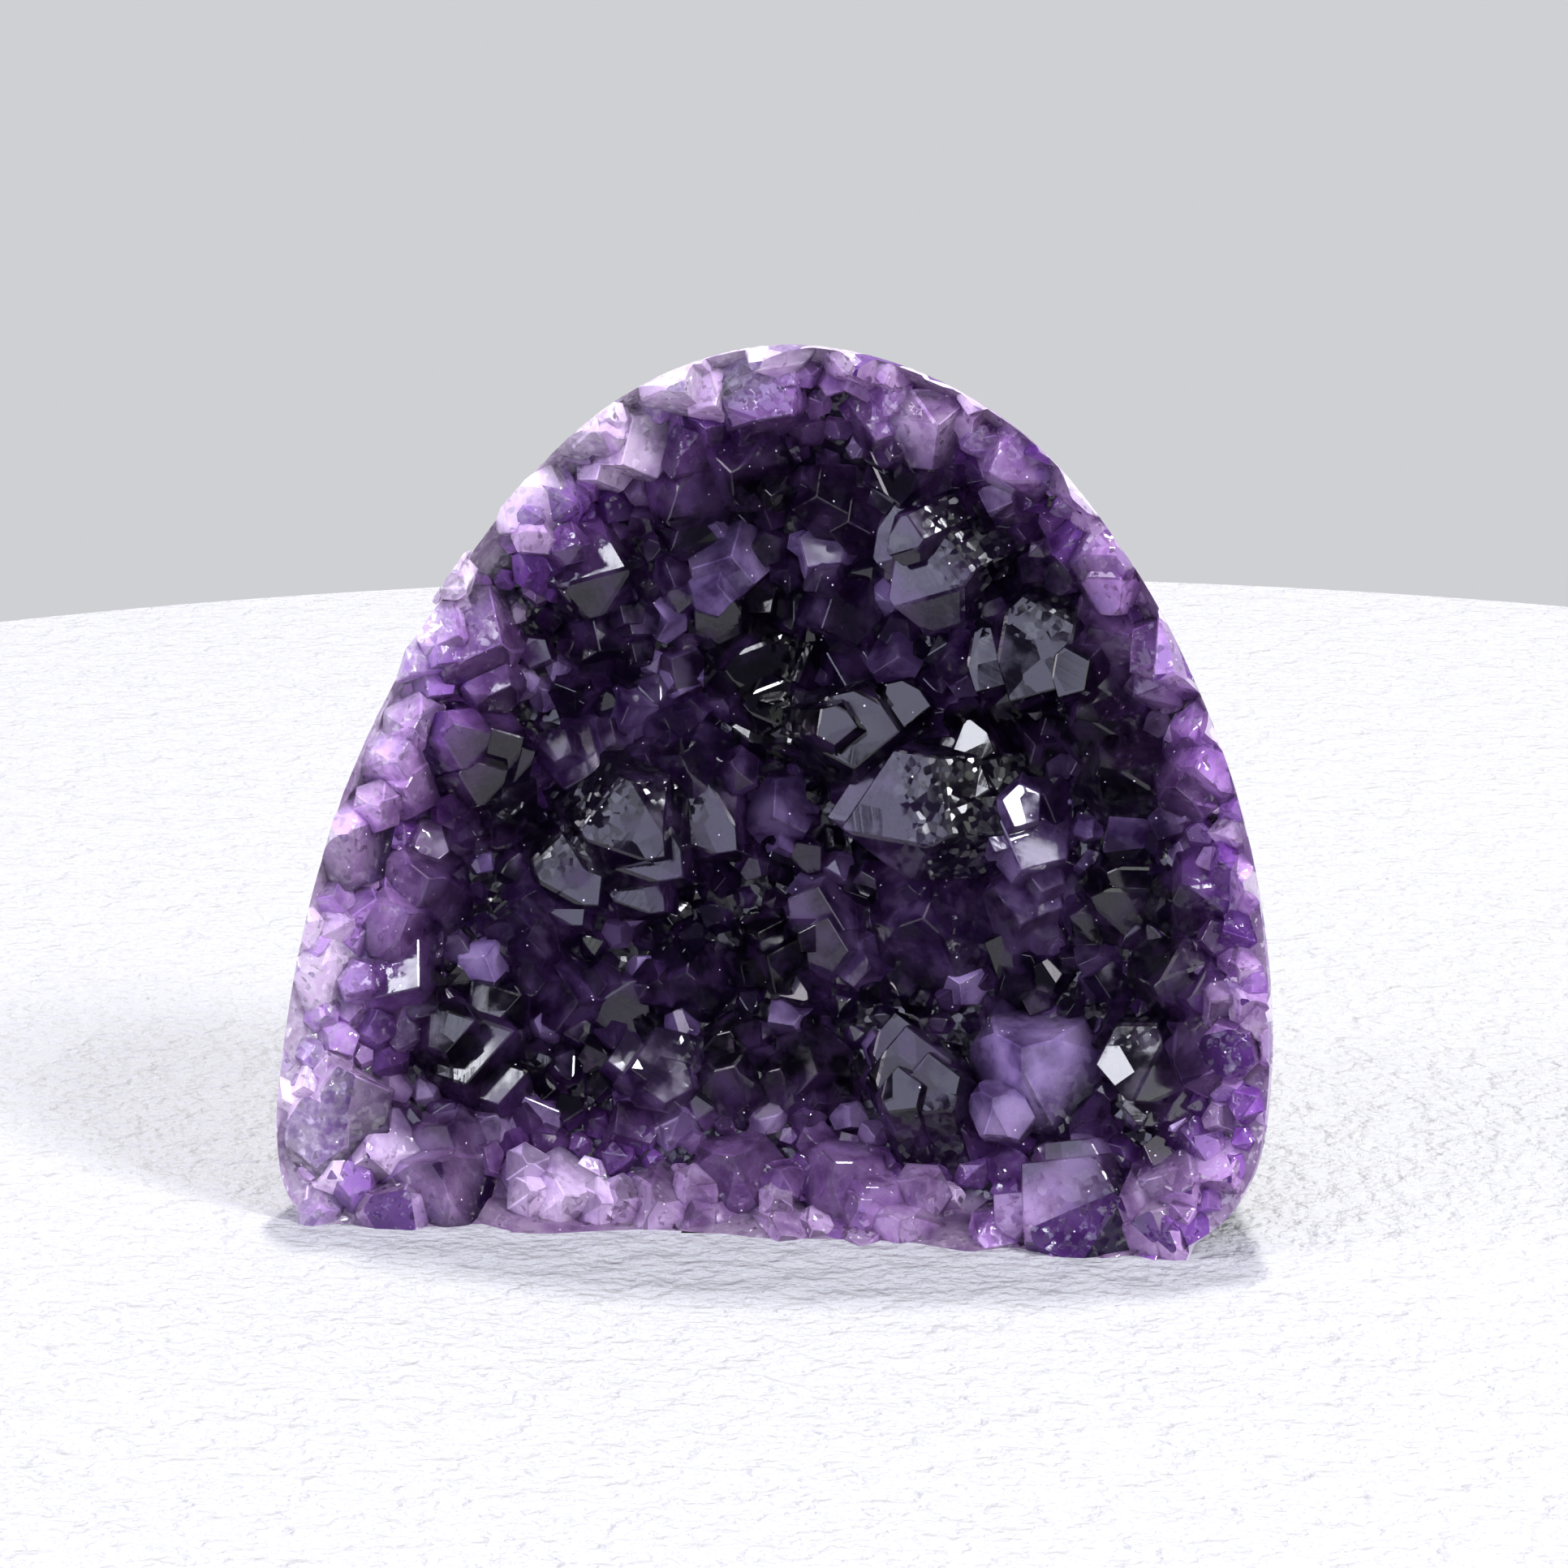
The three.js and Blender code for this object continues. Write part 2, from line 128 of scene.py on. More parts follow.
# The crystals. Each main one is x and z of its tip, its width across the flats, how far it leans
# to the right and upwards, how pale it is, and the light, if any, that its largest face mirrors.
# Others are scattered between them: "fill" ones stand in the solid model too, "small" ones don't.
# A pair is the least and the most, or in a "Spread" the least and what chance adds.
crystals = {
    "main": [
        (-26.7, 52.7, 7, -0.2, 0.1, 0.95), (-22, 58, 6.5, -0.1, 0.2, 0.9), (-17, 64, 6, 0, 0.3, 0.9),
        (-8.2, 67, 7, 0.1, 0.3, 0.8, "pane"), (-2.5, 69.2, 6, -0.1, 0.1, 0.85),
        (5.6, 68.2, 6, 0.1, 0, 0.8), (-0.3, 64.8, 7, 0.2, 0.3, 0.4, "window"),
        (-4.6, 59.7, 8, -0.1, 0.1, 0.2), (7, 62.6, 6, 0, -0.2, 0.5), (12, 63.6, 6, 0.2, 0.1, 0.8),
        (-13.7, 52.3, 8, -0.1, 0.5, 0.35, "pane"), (-8.8, 56.7, 7, 0.2, -0.1, 0.3),
        (8.3, 50.4, 9, -0.2, 0.2, 0.65, "window"), (8.8, 57.4, 6, 0.1, -0.3, 0.4),
        (23.8, 59.2, 7.5, 0.1, 0.2, 0.75, "pane"), (16.2, 60.6, 7, -0.3, 0, 0.6),
        (21.6, 54, 6, -0.2, 0.1, 0.1), (27, 53.4, 6, 0.2, -0.1, 0.6),
        (-23.4, 46, 8, 0.1, 0.3, 0.5, "pane"), (-18, 57, 6, 0.3, 0, 0.15),
        (-21.7, 37.9, 7.5, 0.3, -0.1, 0.4), (-31, 36.6, 8, -0.1, 0, 0.65),
        (-34.6, 31, 8.5, -0.1, 0.1, 0.7), (-28.4, 27, 8.5, 0.1, 0.3, 0.6), (-37, 20, 9, -0.2, 0, 0.9),
        (-23.4, 31.2, 7, 0, -0.2, 0.25), (-15.4, 24.6, 7.5, 0.1, -0.1, 0.35, "window"),
        (-8.4, 27.7, 11, 0, 0, 0.45, "window"), (-8.8, 36.3, 8.5, -0.1, 0.3, 0.6),
        (-5.2, 43.4, 8, -0.3, 0.1, 0.1), (5.4, 32.2, 10, -0.2, 0.2, 0.7, "window"),
        (11.4, 24.4, 10.5, 0, 0.1, 0.65), (8.4, 39, 8, 0.2, 0.2, 0.1, "window"),
        (14.4, 50.6, 6, 0, -0.1, 0.15), (0, 37.4, 6.5, 0.2, -0.3, 0.05),
        (18, 43.6, 8.5, -0.1, 0.1, 0.3, "window"), (30, 46, 8.5, 0.1, 0.2, 0.6),
        (25.6, 37.6, 9.5, -0.1, 0.1, 0.15), (33, 38.4, 8, 0.1, 0, 0.5),
        (15.6, 35.6, 6.5, 0.2, 0.3, 0.1, "pane"), (32.2, 29, 7, 0, 0.2, 0.15),
        (37.4, 29.6, 7, 0.2, 0, 0.65), (37.4, 20.6, 8.5, 0.2, 0.1, 0.75), (25, 27, 7, -0.2, 0.1, 0.1),
        (30.4, 21, 8, 0, -0.1, 0.2), (33.3, 14.4, 7, 0.1, 0, 0.5),
        (-29.5, 18.6, 7.5, 0.1, -0.1, 0.3, "pane"), (-22.4, 14.4, 8, -0.1, 0.3, 0.15, "pane"),
        (-26.4, 5.4, 12.5, 0, 0.3, 0.72), (-35.2, 4, 9, -0.1, 0, 0.95), (-34, 12.2, 7, 0, 0.2, 0.8),
        (-16.4, 3, 8, 0.1, -0.1, 1.0), (-8, 19.2, 7, 0.1, 0.1, 0.3), (-3.6, 12.4, 7.5, 0, 0.2, 0.1),
        (10.2, 15.6, 8, -0.1, 0.1, 0.2, "window"), (-9, 2.6, 7.5, 0, 0, 0.8), (-3, 6, 8, 0.1, 0.3, 0.5),
        (5, 5.8, 8, -0.1, 0.2, 0.6), (1, 0.6, 7, 0, -0.1, 0.8), (10.6, 2, 7.5, 0.1, 0, 0.75),
        (19.8, 15.4, 11.5, 0, 0.3, 0.97), (20.6, 6.4, 10, -0.2, 0.1, 0.7, "window"),
        (28, 4.6, 9.5, 0.1, 0.1, 0.85), (14.6, 8.6, 6.5, 0.1, 0.1, 0.2),
        (28.4, 12.4, 7, -0.1, -0.1, 0.3, "pane"), (36.8, 6.6, 7, 0.2, -0.1, 0.7),
    ],
    "fill": {"widths": (6.4, 5.4, 4.4, 3.6), "tries": 400, "closeness": 0.41, "reach": 0.99, "lean": 0.36},
    "small": {"widths": (6, 5, 4.2), "tries": 700, "closeness": 0.36, "reach": 1.0, "lean": 0.45},
    "fillSeed": 95, "looksSeed": 11, "lowestTip": -1, "tipFaceDeg": 51.8, "rooting": 2, "reachPlain": 2,
    "reachPerWidth": 0.6, "underFace": 0.4, "slopeShare": 0.65, "smallReachPlain": 1.3,
    "smallReachPerWidth": 0.5, "sideSpread": (0.9, 0.2), "largeTipSpread": (0, 0.06),
    "smallTipSpread": (0.1, 0.14), "edgeWear": 0.05, "fullWearWidth": 5, "mostWear": 1.5,
    "plainShare": 0.5, "nearlyFlat": 1.97, "facingShare": 0.25, "facingLeanDeg": (15, 34),
    "facingSetBack": (0.02, 0.5), "facingMinWidth": 5, "mirrorScatter": 0.11, "mirrorLength": 1.7,
    "twinMinWidth": 5, "twinCount": (0.6, 3.4), "twinWidth": (0.4, 0.8), "twinInside": (0, 0.7),
    "twinLower": (0.05, 1.1),
}

# The smallest crystals, which fill the valleys between the others.
druse = {
    "kinds": 6, "width": 2.6, "length": 3.8, "buried": 1.9, "spacing": 2.3, "scale": (0.65, 1.35),
    "plainShare": 0.5, "tiltDeg": 38, "seed": 4, "sourceSeed": 23, "reach": 0.95, "above": 1.5,
    "mostPerSquareMetre": 3e6,
}

# Where the crystals are pale, frosted or milky. Painted light is part of it: the rim reaches further in
# on the left, and the lower left is paler and the left frosted, where the light falls. A pair is where
# that starts and where it is full, as shares of the way out to the outline, or x or z in millimetres.
paling = {
    "rimOnRight": (0.76, 0.97), "rimAndLightOnLeft": (0.64, 0.9), "leftAbove": 8, "footZ": (12, 0),
    "footShare": 0.8, "paintedLightLeft": 0.4, "paintedLightLeftX": (-24, -36), "paintedLightLeftZ": (42, 24),
    "litFrostOut": (0.84, 0.98), "litFrostZ": (24, 42), "litFrostX": (6, -8), "lowLitFrost": 0.65,
    "lowLitFrostX": (-31, -38), "lowLitFrostZ": (34, 22), "rootTint": 0.85, "rootAlong": 6,
    "rootOut": (0.88, 0.96), "rootZ": (4, 1), "rootMilkBefore": 0.5,
}


faceLean = math.tan(math.radians(cut["faceLeanDeg"]))
midX, midZ = cut["middle"]


# A repeatable stream of numbers from 0 to 1.
def makeDraw(seed, factor=16807, period=2147483647):
    state = [seed]

    def draw():
        state[0] = state[0] * factor % period
        return state[0] / period
    return draw


def smooth(value, start, end):
    share = min(1, max(0, (value - start) / (end - start)))
    return share * share * (3 - 2 * share)


def mix(a, b, share):
    return a + (b - a) * share


# The closed curve through the outline's points, at a share of the way round, drawn in by a share.
def outlineAt(around, inwards=1.0):
    pts = cut["outline"]
    along = len(pts) * around
    i = math.floor(along)
    t = along - i
    p0, p1, p2, p3 = (pts[(i + k) % len(pts)] for k in (-1, 0, 1, 2))
    out = []
    for a, b, c, d in zip(p0, p1, p2, p3):
        t0, t1 = 0.5 * (c - a), 0.5 * (d - b)
        out.append(b + t0 * t + (3 * c - 3 * b - 2 * t0 - t1) * t ** 2 + (2 * b - 2 * c + t0 + t1) * t ** 3)
    return midX + inwards * (out[0] - midX), midZ + inwards * (out[1] - midZ)


# The outline as turns about its middle and how far it reaches at each.
def outlineTable(steps=720):
    rim = [outlineAt(k / steps) for k in range(steps)]
    table = sorted((math.atan2(z - midZ, x - midX), math.hypot(x - midX, z - midZ)) for x, z in rim)
    return [table[-1]] + table + [table[0]]


rimTable = outlineTable()


# How far out from the middle of the face a place lies: 0 in the middle and 1 on the outline.
def outwardShare(x, z):
    turn = math.atan2(z - midZ, x - midX)
    after = bisect.bisect_left(rimTable, (turn, 0), 1, len(rimTable) - 1)
    (turnA, reachA), (turnB, reachB) = rimTable[after - 1], rimTable[after]
    share = min(1, max(0, (turn - turnA) / (turnB - turnA))) if turnB > turnA else 0
    return math.hypot(x - midX, z - midZ) / mix(reachA, reachB, share)


# A place by its depth behind the plane of the face, and the depth of a place.
def behindFace(x, z, depth):
    return Vector((x, cut["faceY"] + z * faceLean + depth, z))


def depthOf(x, y, z):
    return y - cut["faceY"] - z * faceLean


# The depth of the bowl's floor, and of the back of the crust that lines it.
def floorDepth(x, z):
    power = cut["roundAbove"] if z > cut["bowlZ"] else cut["roundBelow"]
    across = abs((x - cut["bowlX"]) / cut["bowlRadiusX"]) ** power
    along = abs((z - cut["bowlZ"]) / cut["bowlRadiusZ"]) ** power
    toEdge = min(1, (across + along) ** (1 / power))
    return cut["edgeFloor"] + (cut["deepFloor"] - cut["edgeFloor"]) * (1 - toEdge ** cut["steepness"])


def crustBack(x, z):
    return floorDepth(x, z) + cut["crustThickness"]


# The depth to which quartz fills the space between the crystals: low in the bowl,
# and right up to the ground face along the rim and the foot.
def fillDepth(x, z):
    atRim = smooth(outwardShare(x, z), *cut["rimFillShares"])
    atFoot = smooth(z, *cut["footFillZ"])
    return mix(floorDepth(x, z) - cut["fill"], cut["rimFill"], max(atRim, atFoot))


def backDepth(x, z, fromMiddle):
    upwards = max(0, z) / cut["reachZ"]
    depth = cut["baseDepth"] + (cut["topDepth"] - cut["baseDepth"]) * upwards
    depth += cut["backBulge"] * (1 - fromMiddle ** 2)
    for height, wave, heading, phase in cut["backLumps"]:
        along = (x * math.cos(heading) + z * math.sin(heading)) / wave
        depth += height * math.sin(2 * math.pi * along + phase)
    return depth


# How far the natural back is broken away behind the surface that the solid model has there.
def brokenAway(x, z):
    depth = cut["backDrawnIn"]
    for height, lump in cut["broken"]:
        depth += height * (0.5 + 0.5 * noise.noise(Vector((x, 0, z)) / lump))
    return depth


# A mesh object in metres from points in millimetres.
def toObject(name, points, faces):
    mesh = bpy.data.meshes.new(name)
    mesh.from_pydata([tuple(c * mm for c in p) for p in points], [], faces)
    mesh.update()
    obj = bpy.data.objects.new(name, mesh)
    bpy.context.scene.collection.objects.link(obj)
    return obj


# A number on every face, corner or point of a mesh, which its material reads by name.
def mark(obj, name, domain, values):
    obj.data.attributes.new(name, "FLOAT", domain).data.foreach_set("value", list(values))


# Puts the mesh that a modifier gives in the place of the object's own.
def settle(obj, modifier):
    made = bpy.data.meshes.new_from_object(obj.evaluated_get(bpy.context.evaluated_depsgraph_get()))
    obj.modifiers.remove(modifier)
    old = obj.data
    obj.data = made
    bpy.data.meshes.remove(old)


# Joins or cuts one object with every object of a list.
def combine(base, others, operation):
    group = bpy.data.collections.new("operands")
    bpy.context.scene.collection.children.link(group)
    for other in others:
        group.objects.link(other)
    modifier = base.modifiers.new("combine", "BOOLEAN")
    modifier.operation = operation
    modifier.solver = "MANIFOLD"
    modifier.operand_type = "COLLECTION"
    modifier.collection = group
    settle(base, modifier)
    bpy.data.collections.remove(group)


def discard(objects):
    for obj in objects:
        mesh = obj.data
        bpy.data.objects.remove(obj)
        bpy.data.meshes.remove(mesh)


def finishPiece(obj, material):
    obj.data.materials.clear()
    obj.data.materials.append(material)
    print(obj.name, "faces:", len(obj.data.polygons))
    return obj


# A closed skin over rings of points, the first and last ring each closed by one point.
def skin(name, firstPoint, rings, lastPoint):
    count = len(rings[0])
    points = [firstPoint] + [p for ring in rings for p in ring] + [lastPoint]
    last = len(points) - 1
    faces = []
    for i in range(count):
        j = (i + 1) % count
        end = 1 + (len(rings) - 1) * count
        faces.append((0, 1 + i, 1 + j))
        faces.append((last, end + j, end + i))
        for r in range(len(rings) - 1):
            a, b = 1 + r * count, 1 + (r + 1) * count
            faces.append((a + i, b + i, b + j, a + j))
    return toObject(name, points, faces)


def ringOf(count, pointAt, share):
    return [pointAt(1 - i / count, share) for i in range(count)]


# A surface given as depths: its middle, and rings of points out to a share of the outline.
def surfaceRings(depthAt, rings, count, reach):
    def onSurface(around, share):
        x, z = outlineAt(around, share)
        return behindFace(x, z, depthAt(x, z))

    middle = behindFace(midX, midZ, depthAt(midX, midZ))
    return middle, [ringOf(count, onSurface, reach * (k + 1) / rings) for k in range(rings)]


# What lies between two surfaces, wider than the piece on all sides.
def layer(name, nearDepth, farDepth, rings=16, count=96, beyond=1.25):
    first, near = surfaceRings(nearDepth, rings, count, beyond)
    last, far = surfaceRings(farDepth, rings, count, beyond)
    return skin(name, first, near + far[::-1], last)


# Everything under the flat base, its top a grid fine enough for the bands that cross the base.
def underSawCut(low=-30, wide=48, cells=48):
    steps = [wide * (2 * n / cells - 1) for n in range(cells + 1)]
    points = [(x, y, z) for z in (low, 0) for y in steps for x in steps]
    row, top = cells + 1, (cells + 1) ** 2
    faces = []
    for j in range(cells):
        for i in range(cells):
            a = j * row + i
            faces.append((a, a + row, a + row + 1, a + 1))
            faces.append((top + a, top + a + 1, top + a + row + 1, top + a + row))
    for k in range(cells):
        left, right, back = k * row, k * row + cells, cells * row + k
        for a, b in ((k, k + 1), (back + 1, back), (left + row, left), (right, right + row)):
            faces.append((a, b, top + b, top + a))
    sawn = toObject("underSawCut", points, faces)
    mark(sawn, "ground", "FACE", [1] * len(faces))
    return sawn


# The whole piece as its rounded rim, ground sides, rough back and saw cut bound it.
def makeBlock(name, backRings=24, broken=lambda x, z: 0, edges=7, sides=9, count=216):
    def place(x, z, depth, inset=0.0):
        inset += cut["drawnIn"]
        narrowed = x * (1 - cut["taperX"] * depth - inset / cut["reachX"])
        lowered = z * (1 - cut["taperZ"] * depth - inset / cut["reachZ"])
        return behindFace(narrowed, lowered, depth)

    def edgeAt(around, turn):
        depth = cut["rimRound"] * (1 - math.cos(turn))
        inset = cut["rimRound"] * (1 - math.sin(turn))
        return place(*outlineAt(around), depth, inset)

    def sideAt(around, share):
        x, z = outlineAt(around)
        return place(x, z, cut["rimRound"] + share * (backDepth(x, z, 1) - broken(x, z) - cut["rimRound"]))

    def backAt(around, share):
        x, z = outlineAt(around, share)
        return place(x, z, backDepth(x, z, share) - broken(x, z))

    turns = [math.pi / 2 * k / edges for k in range(1, edges + 1)]
    backwards = [k / (sides + 1) for k in range(1, sides + 1)]
    inwards = [1 - k / backRings for k in range(backRings)]
    rings = []
    for pointAt, shares in ((edgeAt, turns), (sideAt, backwards), (backAt, inwards)):
        rings += [ringOf(count, pointAt, share) for share in shares]
    middleBack = place(midX, midZ, backDepth(midX, midZ, 0) - broken(midX, midZ))
    block = skin(name, place(midX, midZ, 0), rings, middleBack)
    perStep = len(rings) + 1  # faces of a step round: the front, the back, then those between rings
    places = [n % perStep for n in range(len(block.data.polygons))]
    mark(block, "ground", "FACE", [0 if n == 1 or n - 2 >= edges + sides else 1 for n in places])
    return block


# Cuts off what lies beyond a plane. A convex body is its corners and its faces,
# each face a loop of corners and the number of the plane that it lies in.
def cutBy(corners, faces, owner, normal, distance):
    beyond = [normal.dot(c) - distance > 0 for c in corners]
    cutAt, kept, capNext = {}, [], {}
    for loop, loopOwner in faces:
        left = []
        for a, b in zip(loop, loop[1:] + loop[:1]):
            if not beyond[a]:
                left.append(a)
            if beyond[a] == beyond[b]:
                continue
            edge = (min(a, b), max(a, b))
            if edge not in cutAt:
                heightA, heightB = (normal.dot(corners[n]) - distance for n in edge)
                cutAt[edge] = len(corners)
                corners.append(corners[edge[0]].lerp(corners[edge[1]], heightA / (heightA - heightB)))
            left.append(cutAt[edge])
            if beyond[a]:
                entering = cutAt[edge]
            else:
                leaving = cutAt[edge]
        if any(beyond[n] for n in loop) and not all(beyond[n] for n in loop):
            capNext[entering] = leaving
        if len(left) >= 3:
            kept.append((left, loopOwner))
    if not capNext:
        return faces
    first = next(iter(capNext))
    cap = [first]
    while capNext[cap[-1]] != first:
        cap.append(capNext[cap[-1]])
    return kept + [(cap, owner)]


# The convex body inside a set of planes.
def enclosedBy(planes, wide=60):
    ends = (-wide, wide)
    corners = [Vector((x, y, z)) for z in ends for y in ends for x in ends]
    box = [(0, 2, 3, 1), (4, 5, 7, 6), (0, 1, 5, 4), (2, 6, 7, 3), (0, 4, 6, 2), (1, 3, 7, 5)]
    faces = [(list(loop), -1) for loop in box]
    for owner, (normal, distance) in enumerate(planes):
        faces = cutBy(corners, faces, owner, normal, distance)
    used = sorted({n for loop, _ in faces for n in loop})
    place = {n: i for i, n in enumerate(used)}
    return [corners[n] for n in used], [([place[n] for n in loop], owner) for loop, owner in faces]


# Worn edges: one more plane across each edge of a convex body, a little inside it.
def wornDown(planes, wear):
    corners, faces = enclosedBy(planes)
    owners = {(a, b): owner for loop, owner in faces for a, b in zip(loop, loop[1:] + loop[:1])}
    worn = list(planes)
    for (a, b), owner in owners.items():
        other = owners[(b, a)]
        across = planes[owner][0] + planes[other][0]
        if other > owner and across.length < crystals["nearlyFlat"]:
            across.normalize()
            worn.append((across, across.dot(corners[a]) - wear))
    return worn


# The direction in which a crystal at this place points, and its tip.
def standing(x, z, width, leanRight, leanUp, near=0.5):
    floor = floorDepth(x, z)
    reach = min(crystals["reachPlain"] + crystals["reachPerWidth"] * width, floor - crystals["underFace"])
    slopeX = crystals["slopeShare"] * (floorDepth(x + near, z) - floorDepth(x - near, z))
    slopeZ = crystals["slopeShare"] * (floorDepth(x, z + near) - floorDepth(x, z - near))
    outwards = Vector((slopeX + leanRight, -1, slopeZ + faceLean + leanUp)).normalized()
    return behindFace(x, z, floor - reach), outwards, reach


# A direction across an axis, turned about it from the one that is given or else from the level one.
def acrossAxis(axis, turn, first=None):
    first = first or Vector((0, 0, 1)).cross(axis).normalized()
    return first * math.cos(turn) + axis.cross(first) * math.sin(turn)


def leastAndChance(spread, draw):
    return spread[0] + spread[1] * draw()


# The planes of one quartz crystal, as distances from its tip: a six-sided prism with three large
# tip faces and three small ones. A facing crystal leans aside until one large tip face looks the way
# that it is given, cut deep enough to leave the tip to one side.
def crystalShape(outwards, length, width, plain, draw, facing=None, setBacks=None):
    first = None
    twist = draw() * math.pi * 2
    apothem = width / 2
    tilt = math.radians(crystals["tipFaceDeg"])
    if facing:
        aside = (outwards - facing * outwards.dot(facing)).normalized()
        outwards = facing * math.cos(tilt) + aside * math.sin(tilt)
        first = (facing - outwards * math.cos(tilt)).normalized()
        twist = 0
        length *= crystals["mirrorLength"]
    planes = [(-outwards, length)]
    for side in range(6):
        turn = twist + side * math.pi / 3
        radial = acrossAxis(outwards, turn, first)
        planes.append((radial, apothem * leastAndChance(crystals["sideSpread"], draw)))
        tilted = radial * math.sin(tilt) + outwards * math.cos(tilt)
        isSmall = side % 2 == 1
        spread = crystals["smallTipSpread" if isSmall else "largeTipSpread"]
        setBack = leastAndChance(spread, draw) * apothem
        if facing and side > 0:
            setBack += mix(*crystals["facingSetBack"], setBacks() ** 2) * apothem
        if not (plain and isSmall):
            planes.append((tilted, setBack))
    wear = crystals["edgeWear"] * min(crystals["mostWear"], width / crystals["fullWearWidth"])
    return wornDown(planes, wear), outwards


def towardsCamera():
    azimuth, elevation = math.radians(view["azimuthDeg"]), math.radians(view["elevationDeg"])
    level = math.cos(elevation)
    return Vector((math.sin(azimuth) * level, -math.cos(azimuth) * level, math.sin(elevation)))


# The way a face must look to mirror a light into the camera, give or take a little.
def mirrorWay(name, draw):
    scatter = Vector((draw() - 0.5, draw() - 0.5, draw() - 0.5)) * 2 * crystals["mirrorScatter"]
    return (towardsCamera() + Vector(lights[name][0]).normalized() + scatter).normalized()


# The way the largest face looks when nothing is to be mirrored.
def leaningWay(outwards, draw):
    turn, lean = draw() * 2 * math.pi, math.radians(mix(*crystals["facingLeanDeg"], draw()))
    return outwards * math.cos(lean) + acrossAxis(outwards, turn) * math.sin(lean)


# Crystals of one kind by chance between the placed ones, wherever there is still room.
def scatter(placed, kind, draw):
    found = []
    for width in kind["widths"]:
        for _ in range(kind["tries"]):
            x, z = outlineAt(draw(), math.sqrt(draw()) * kind["reach"])
            leans = [(draw() - 0.5) * 2 * kind["lean"] for _ in range(2)]
            crowded = any(math.hypot(other[0] - x, other[1] - z) < kind["closeness"] * (other[2] + width)
                          for other in placed + found)
            if z > crystals["lowestTip"] and not crowded:
                found.append((x, z, width, *leans))
    return found


# A crystal as an object that carries a tone for each face, a tint for the whole, and the distance
# from its tip along its axis, which its growth lines follow.
def crystalObject(name, planes, tip, axis, draw, tint):
    corners, faces = enclosedBy(planes)
    obj = toObject(name, [c + tip for c in corners], [loop for loop, _ in faces])
    tones = [draw() for _ in planes]
    mark(obj, "tone", "FACE", [tones[owner] for _, owner in faces])
    mark(obj, "tint", "FACE", [tint] * len(faces))
    at = [obj.data.vertices[loop.vertex_index].co for loop in obj.data.loops]
    mark(obj, "along", "CORNER", [(tip * mm - place).dot(axis) for place in at])
    return obj


# How much a place belongs to the pale rim or to the pale foot. The rim is widest on the left: painted
# light, paler where the light falls on that side.
def rimNearness(x, z):
    leftwards = 0.5 - 0.5 * math.cos(math.atan2(z - midZ - paling["leftAbove"], x - midX))
    starts, ends = (mix(*pair, leftwards) for pair in zip(paling["rimOnRight"], paling["rimAndLightOnLeft"]))
    return max(smooth(outwardShare(x, z), starts, ends), paling["footShare"] * smooth(z, *paling["footZ"]))


# How frosted a place is, partly painted light: along the rim at the upper left, and less so at the
# lower left, on the side where the light falls.
def frostAndPaintedLightAt(x, z):
    upperLeft = smooth(outwardShare(x, z), *paling["litFrostOut"])
    upperLeft *= smooth(z, *paling["litFrostZ"]) * smooth(x, *paling["litFrostX"])
    lowerLeft = smooth(x, *paling["lowLitFrostX"]) * smooth(z, *paling["lowLitFrostZ"])
    return max(upperLeft, paling["lowLitFrost"] * lowerLeft)


# How pale a scattered crystal is: by chance, plus painted light that makes it paler at the lower left,
# where the light falls.
def palenessAndPaintedLightAt(x, z, chance):
    lightAtLeft = smooth(x, *paling["paintedLightLeftX"]) * smooth(z, *paling["paintedLightLeftZ"])
    return min(1, chance + paling["paintedLightLeft"] * lightAtLeft)


# The surface on which the smallest crystals sit, seen from the front.
def growthFloor(rings=40, count=160):
    middle, around = surfaceRings(fillDepth, rings, count, druse["reach"])
    points = [middle] + [p for ring in around for p in ring]
    faces = [(0, 1 + i, 1 + (i + 1) % count) for i in range(count)]
    for ring in range(rings - 1):
        a, b = 1 + ring * count, 1 + (ring + 1) * count
        faces += [(a + i, b + i, b + (i + 1) % count, a + (i + 1) % count) for i in range(count)]
    faces = [face for face in faces if all(points[n].z > druse["above"] for n in face)]
    return toObject("growthFloor", points, faces)


